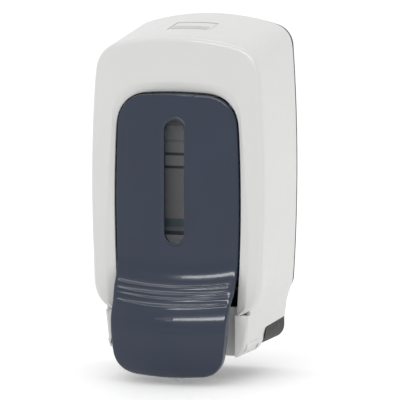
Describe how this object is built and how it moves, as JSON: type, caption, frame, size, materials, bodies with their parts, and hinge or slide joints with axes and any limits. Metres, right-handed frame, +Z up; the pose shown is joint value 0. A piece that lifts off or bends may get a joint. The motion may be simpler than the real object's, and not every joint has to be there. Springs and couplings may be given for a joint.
{
  "type": "wall mounted soap dispenser",
  "caption": "Wall mounted push-lever foam soap dispenser: arched white cover, tall slate lever with window and flared pad, hinged over a refill and pump.",
  "frame": {"origin": "on the wall plane, at the centre of the four wall-screw holes in the back plate", "axes": "+Z up along the body, +X to the right seen from the front, +Y into the wall, so the lever faces -Y"},
  "size_m": [0.1318, 0.1126, 0.2625],
  "materials": {
    "white_abs": "satin moulded ABS",
    "slate_abs": "polished slate grey ABS",
    "slate_abs_inner": "plain moulded ABS",
    "dark_abs": "dark grey ABS with fine moulded grain",
    "clear_lens": "clear polycarbonate",
    "bottle_hdpe": "translucent polyethylene",
    "label_film": "printed film with plain bands",
    "natural_acetal": "natural white acetal",
    "silicone": "translucent silicone",
    "rubber": "black elastomer",
    "steel": "zinc plated",
    "spring_steel": "bright spring wire and strip",
    "mesh_steel": "woven stainless mesh"
  },
  "bodies": {
    "chassis": {"back_plate": "dark_abs", "cover_hinge_pins": "steel", "latch_catch": "spring_steel", "catch_screws": "steel", "neck_shelf": "dark_abs", "shelf_screws": "steel", "refill_bottle": "bottle_hdpe", "refill_label": "label_film", "pump_collar": "natural_acetal", "neck_gasket": "rubber", "pump_body": "natural_acetal", "inlet_ball": "steel", "cylinder_cap": "natural_acetal", "cap_wiper": "rubber", "pump_spring": "spring_steel"},
    "cover": {"front_cover": "white_abs", "lever_axle": "steel", "axle_clips": "spring_steel", "lever_springs": "spring_steel", "latch_pin": "steel", "latch_spring": "spring_steel"},
    "lever": {"push_lever": "slate_abs", "window_lens": "clear_lens", "lens_retainer": "slate_abs_inner", "retainer_screws": "steel", "pusher_bumper": "rubber", "lever_bushes": "natural_acetal"},
    "latch": {"latch_button": "white_abs"},
    "plunger": {"piston": "natural_acetal", "piston_seal": "rubber", "outlet_valve": "silicone", "spout": "natural_acetal", "foam_screen": "mesh_steel", "nozzle_tip": "silicone"}
  },
  "joints": [
    {"name": "cover_open", "type": "hinge", "parent": "chassis", "child": "cover", "pos_m": [0, -0.057, -0.119], "axis": [1, 0, 0], "range_deg": [0, 80]},
    {"name": "lever_push", "type": "hinge", "parent": "cover", "child": "lever", "pos_m": [0, -0.0755, 0.056], "axis": [1, 0, 0], "range_deg": [0, 4], "stiffness_Nm_per_rad": 8, "springref_deg": -3.44, "deforming": ["lever_springs"]},
    {"name": "latch_press", "type": "hinge", "parent": "cover", "child": "latch", "pos_m": [0, -0.055, 0.104], "axis": [-1, 0, 0], "range_deg": [0, 5], "stiffness_Nm_per_rad": 0.6, "springref_deg": -5.73, "deforming": ["latch_spring"]},
    {"name": "plunger_push", "type": "slide", "parent": "chassis", "child": "plunger", "axis": [0, 1, 0], "range_m": [0, 0.0112], "deforming": ["pump_spring"]}
  ],
  "couplings": [
    {"joint": "plunger_push", "follows": "lever_push", "m_per_rad": 0.156}
  ]
}
